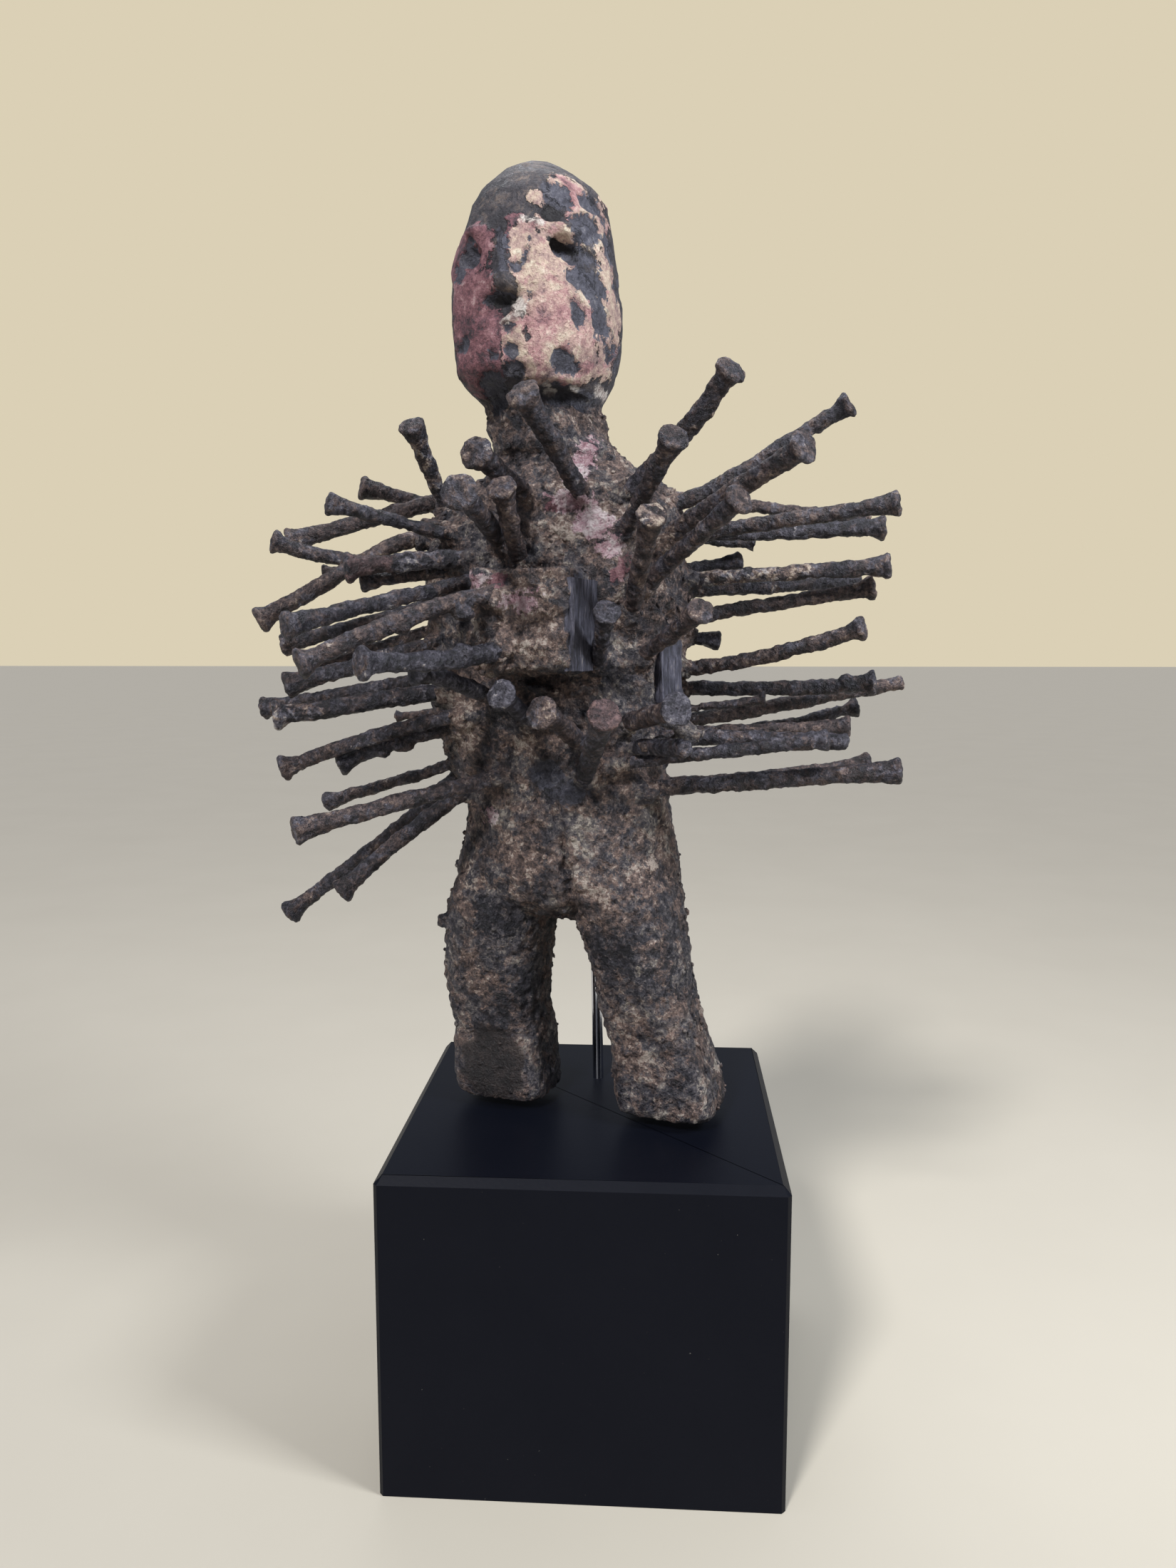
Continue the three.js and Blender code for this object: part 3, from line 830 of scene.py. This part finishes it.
nailLook = {
    "voxel": 0.00085,
    "keptFaces": 0.72,
    # the head, from this many shaft radii round its middle, is grown a little
    "headReach": 2.6,
    "headGrow": 1.14,
    "swell": 0.0004,
    # size and depth of each layer of roughness, in metres
    "wave": (0.011, 0.0021),
    "crust": (0.0036, 0.0017),
    "pits": (0.0022, 0.0005),
    "lumpShape": (1, 0.8, 0.75),
    # crust near the wood, the lighter rim of the head that is a painted highlight, and the ragged ends of
    # the marks
    "rootReach": 0.014,
    "rimFrom": 0.97,
    "rimWidth": 0.0065,
    "frayScale": 280,
    "fray": 0.05,
}

# Marks along single nails, each from and to a share of its length, and lumps of crust: the share where
# each sits and its radius in mm
marks = {
    "nail_left_01": {"pale": [(0.2, 0.85)]},
    "nail_left_07": {
        "red": [(0.62, 0.98)],
        "pale": [(0.2, 0.6)],
        "lumps": [(0.3, 5), (0.45, 5.5), (0.55, 4.5)],
    },
    "nail_left_15": {"blue": [(0.0, 1.0)], "lumps": [(0.78, 4.6), (0.3, 5)]},
    "nail_left_16": {"blue": [(0.3, 1.1)]},
    "nail_left_17": {"blue": [(0.0, 1.1)]},
    "nail_left_20": {"pale": [(0.72, 1.1)], "lumps": [(0.85, 5.2)]},
    "nail_left_22": {"lumps": [(0.5, 5.5), (0.62, 5), (0.4, 5)]},
    "nail_left_12": {"lumps": [(0.5, 5), (0.2, 5.5)]},
    "nail_left_10": {"lumps": [(0.35, 5), (0.5, 5.5)]},
    "nail_front_05": {"red": [(0.96, 1.1)]},
    "nail_front_06": {"blue": [(0.9, 1.1)]},
    "nail_right_03": {"pale": [(0.97, 1.1)]},
    "nail_right_11": {"pale": [(0.1, 0.6)], "lumps": [(0.15, 5.2), (0.4, 4.6)]},
    "nail_right_15": {"lumps": [(0.5, 4.4)]},
    "nail_right_17": {"lumps": [(0.86, 4.8)]},
    "nail_right_21": {"blue": [(0.95, 1.1)]},
}

# Four more thin nails without solids of their own: root and head in the figure's own x, y and height
thinNails = {
    "thin_nail_1": ((-92, 1, 296), (-159, -13, 294)),
    "thin_nail_2": ((-87, -4, 215), (-115, -9, 211)),
    "thin_nail_3": ((40, 29, 310), (77, 46, 307)),
    "thin_nail_4": ((46, 6, 217), (91, 15, 223)),
}
thinLook = {
    "sides": 12,
    "driven": 0.008,
    "rootRadius": 0.0019,
    "shaftRadius": 0.0026,
    "headRadius": 0.0047,
    "headHeight": 0.0028,
    "headSink": 0.0005,
}


def oldIron():
    material, tree, shader = newMaterial("old crusted iron")
    here = place(tree)
    broad = cloud(tree, here, 24, 4, 0.6, 0.3, 1)
    middle = cloud(tree, here, 6, 5, 0.7, 0.4, 2)
    small = cloud(tree, here, 2.6, 4, 0.7, 0.2, 3)
    grain = cloud(tree, here, 1.1, 3, 0.7, 0, 4)
    rust = cloud(tree, here, 9, 6, 0.75, 0.8, 5)
    scale = flakes(tree, here, 3.6)
    fine = total(tree, centred(tree, small, 1.0), centred(tree, grain, 0.6), centred(tree, scale, 0.2))

    def mark(name, spread, bias):
        value = total(tree, field(tree, name), centred(tree, middle, spread), centred(tree, scale, 0.5))
        return between(tree, value, bias - 0.08, bias + 0.08)

    pale = mark("pale", 4.0, 0.85)
    value = total(
        tree,
        fine,
        0.4,
        centred(tree, broad, 0.5),
        centred(tree, middle, 0.6),
        maths(tree, "MULTIPLY", field(tree, "tint"), 0.07),
        # lighter rim of the head: a painted highlight
        maths(tree, "MULTIPLY", field(tree, "rimHighlight"), 0.06),
        maths(tree, "MULTIPLY", mark("root", 3.0, 0.55), 0.08),
        maths(tree, "MULTIPLY", pale, 0.2),
    )
    cold = shades(
        tree, value,
        (0.24, (22, 22, 29)), (0.4, (44, 43, 52)), (0.54, (72, 70, 80)), (0.68, (100, 98, 108)),
        (0.86, (170, 164, 162)),
    )
    warm = shades(
        tree, value,
        (0.24, (25, 22, 25)), (0.4, (50, 42, 44)), (0.54, (82, 69, 68)), (0.68, (112, 95, 88)),
        (0.86, (176, 162, 148)),
    )
    warmth = total(tree, rust, maths(tree, "MULTIPLY", field(tree, "tint"), 0.12))
    warmth = total(tree, warmth, maths(tree, "MULTIPLY", field(tree, "blue"), -0.25), -0.03)
    colour = over(tree, between(tree, warmth, 0.46, 0.58), cold, warm)
    red = shades(tree, value, (0.24, (44, 34, 36)), (0.5, (84, 64, 64)), (0.75, (140, 108, 104)))
    colour = over(tree, maths(tree, "MULTIPLY", mark("red", 2.0, 0.6), 0.75), colour, red)
    tree.links.new(colour, shader.inputs["Base Color"])
    tree.links.new(ranged(tree, middle, 0.35, 0.65, 0.34, 0.66), shader.inputs["Roughness"])
    shader.inputs["Metallic"].default_value = 0.2
    bumped(tree, shader, [(2.4, middle), (2.2, small), (0.5, scale), (0.8, grain)])
    return material


def paintNail(nail, root, head, look, tint):
    # where along the nail each point lies, as a share of its length
    points = pointsOf(nail)
    chord = np.array(head - root)
    share = (points - np.array(root)) @ chord / (chord @ chord)
    scale = nailLook["frayScale"]
    fray = np.array([noise.noise(Vector(p) * scale) for p in points]) * nailLook["fray"]
    store(nail, "tint", np.full(len(points), tint))
    store(nail, "root", np.clip(1.1 - share * np.linalg.norm(chord) / nailLook["rootReach"], 0, 1))
    offAxis = np.linalg.norm(points - np.array(root) - share[:, None] * chord, axis=1)
    # the outer rim of each head is made lighter: a painted highlight
    store(nail, "rimHighlight", (share > nailLook["rimFrom"]) * np.clip(offAxis / nailLook["rimWidth"], 0, 1) ** 2)
    for name in ("pale", "red", "blue"):
        marked = np.zeros(len(points))
        for start, end in look.get(name, ()):
            marked = np.maximum(marked, (share + fray > start) & (share + fray < end))
        store(nail, name, marked)


def roughen(nail, textures):
    applied(nail, "REMESH", mode="VOXEL", voxel_size=nailLook["voxel"])
    for name in ("wave", "crust", "pits"):
        applied(nail, "DISPLACE", texture=textures[name], strength=nailLook[name][1], mid_level=0.5)
    applied(nail, "DECIMATE", ratio=nailLook["keptFaces"])
    smoothSides(nail)


def addLumps(nail, root, head, shaft, lumps, dice):
    balls = []
    for share, size in lumps:
        offset = Vector((dice.uniform(-1, 1), dice.uniform(-1, 0), dice.uniform(-1, 1))) * shaft * 0.5
        bpy.ops.mesh.primitive_ico_sphere_add(
            subdivisions=2,
            radius=size * mm,
            location=root.lerp(head, share) + offset,
            scale=nailLook["lumpShape"],
        )
        balls.append(bpy.context.object)
    pick(nail)
    for ball in balls:
        ball.select_set(True)
    bpy.ops.object.join()


def makeNail(node, iron, textures, dice):
    tip, along, shaft, head = nails[node]
    look = marks.get(node, {})
    root = tip + along * carving["driven"] * mm
    nail = copyOf(node, "old_" + node)
    pick(nail)
    for vertex in nail.data.vertices:
        vertex.select = (vertex.co - head).length < shaft * nailLook["headReach"]
    bpy.ops.object.mode_set(mode="EDIT")
    bpy.ops.transform.resize(value=(nailLook["headGrow"],) * 3, center_override=head)
    bpy.ops.object.mode_set(mode="OBJECT")
    applied(nail, "SUBSURF", levels=2, render_levels=2)
    applied(nail, "DISPLACE", strength=nailLook["swell"], mid_level=0)
    addLumps(nail, root, head, shaft, look.get("lumps", ()), dice)
    roughen(nail, textures)
    paintNail(nail, root, head, look, dice.random())
    finished(nail, iron, "nail_iron", node)


def inWorld(point):
    # the figure's own x, y and height in millimetres to world metres
    x, y, z = point
    cos, sin = math.cos(figureTurn), math.sin(figureTurn)
    return Vector((x * cos - y * sin, x * sin + y * cos, z)) * mm + Vector((0, 0, soleHeight))


def makeThinNail(name, ends, iron, textures, dice):
    root, head = inWorld(ends[0]), inWorld(ends[1])
    along = (head - root).normalized()
    facing = along.to_track_quat("Z", "Y").to_euler()
    start = root - along * thinLook["driven"]
    bpy.ops.mesh.primitive_cone_add(
        vertices=thinLook["sides"],
        radius1=thinLook["rootRadius"],
        radius2=thinLook["shaftRadius"],
        depth=(head - start).length,
        location=(start + head) / 2,
        rotation=facing,
    )
    nail = bpy.context.object
    nail.name = name
    bpy.ops.mesh.primitive_cone_add(
        vertices=thinLook["sides"],
        radius1=thinLook["shaftRadius"],
        radius2=thinLook["headRadius"],
        depth=thinLook["headHeight"],
        location=head - along * thinLook["headSink"],
        rotation=facing,
    )
    disc = bpy.context.object
    pick(nail)
    disc.select_set(True)
    bpy.ops.object.join()
    bpy.ops.object.transform_apply(location=True, rotation=True, scale=True)
    roughen(nail, textures)
    paintNail(nail, root, head, {}, dice.random())
    finished(nail, iron, "nail_iron")


def makeNails():
    dice = random.Random(27)
    iron = oldIron()
    textures = {
        "wave": lumpTexture("nail wave", "CLOUDS", nailLook["wave"][0]),
        "crust": lumpTexture("nail crust", "CLOUDS", nailLook["crust"][0], noise_depth=2),
        "pits": lumpTexture("nail pits", "CLOUDS", nailLook["pits"][0]),
    }
    for node in nails:
        makeNail(node, iron, textures, dice)
    for name, ends in thinNails.items():
        makeThinNail(name, ends, iron, textures, dice)


makeNails()
print("nails")


steelRod = {
    "radius": 3.175,
    "sides": 64,
    "softEdge": 0.0004,
}


def polishedSteel():
    material, tree, shader = newMaterial("polished steel")
    grain = cloud(tree, place(tree, (1, 1, 0.06)), 0.9, 3)
    haze = cloud(tree, place(tree), 14, 4)
    shader.inputs["Metallic"].default_value = 1.0
    colour = over(tree, haze, tone(222, 224, 232), tone(200, 203, 212))
    tree.links.new(colour, shader.inputs["Base Color"])
    tree.links.new(ranged(tree, haze, 0, 1, 0.1, 0.18), shader.inputs["Roughness"])
    bumped(tree, shader, [(0.01, grain)])
    return material


def makeRod():
    # round, where the solid has flats, between the middles of the solid's two ends
    low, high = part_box("mount_rod")
    rod = copyOf("mount_rod", "steel_rod")
    points = pointsOf(rod)
    foot = Vector(points[points[:, 2] < low.z + 0.002].mean(axis=0))
    top = Vector(points[points[:, 2] > high.z - 0.002].mean(axis=0))
    bpy.data.objects.remove(rod)
    axis = top - foot
    bpy.ops.mesh.primitive_cylinder_add(
        vertices=steelRod["sides"],
        radius=steelRod["radius"] * mm,
        depth=axis.length,
        location=(foot + top) / 2,
        rotation=axis.to_track_quat("Z", "Y").to_euler(),
    )
    rod = bpy.context.object
    rod.name = "steel_rod"
    bpy.ops.object.transform_apply(location=True, rotation=True, scale=True)
    edges = {"limit_method": "ANGLE", "angle_limit": math.radians(40)}
    applied(rod, "BEVEL", width=steelRod["softEdge"], segments=2, **edges)
    smoothSides(rod, 40)
    finished(rod, polishedSteel(), "rod_steel", "mount_rod")


blackBlock = {
    "topChamfer": 4,
    "cornerFace": 2.828,  # width of the slanted face at an upright corner, 2 mm off each side
}


def blackLacquer():
    material, tree, shader = newMaterial("black satin lacquer")
    here = place(tree)
    haze = cloud(tree, here, 60, 5, 0.6, 0.3, 1)
    fleck = cloud(tree, here, 1.6, 3, 0.5, 0, 2)
    peel = cloud(tree, here, 2.0, 3, 0.5, 0, 3)
    colour = over(tree, haze, tone(5, 7, 16), tone(12, 14, 22))
    colour = over(tree, between(tree, fleck, 0.74, 0.78), colour, tone(90, 88, 84))
    tree.links.new(colour, shader.inputs["Base Color"])
    tree.links.new(ranged(tree, haze, 0, 1, 0.34, 0.46), shader.inputs["Roughness"])
    shader.inputs["Specular IOR Level"].default_value = 0.1
    bumped(tree, shader, [(0.03, peel)])
    return material


def makeBlock():
    low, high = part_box("mount_block")
    size = high - low
    bpy.ops.mesh.primitive_cube_add(size=1, location=(low + high) / 2)
    block = bpy.context.object
    block.name = "lacquered_block"
    block.scale = size
    bpy.ops.object.transform_apply(location=True, rotation=True, scale=True)

    def chooseEdges(test):
        pick(block, "EDIT")
        bpy.ops.mesh.select_mode(type="EDGE")
        bpy.ops.mesh.select_all(action="DESELECT")
        bpy.ops.object.mode_set(mode="OBJECT")
        for edge in block.data.edges:
            a, b = (block.data.vertices[k].co for k in edge.vertices)
            edge.select = test(a, b)
        bpy.ops.object.mode_set(mode="EDIT")

    chooseEdges(lambda a, b: abs(a.z - b.z) > 0.1)
    bpy.ops.mesh.bevel(offset=blackBlock["cornerFace"] * mm, offset_type="WIDTH", segments=1)
    chooseEdges(lambda a, b: min(a.z, b.z) > high.z - 0.0001)
    bpy.ops.mesh.bevel(offset=blackBlock["topChamfer"] * mm, offset_type="OFFSET", segments=1)
    bpy.ops.object.mode_set(mode="OBJECT")
    smoothSides(block, 10)
    finished(block, blackLacquer(), "block_lacquer", "mount_block")


makeRod()
makeBlock()
print("rod and block")
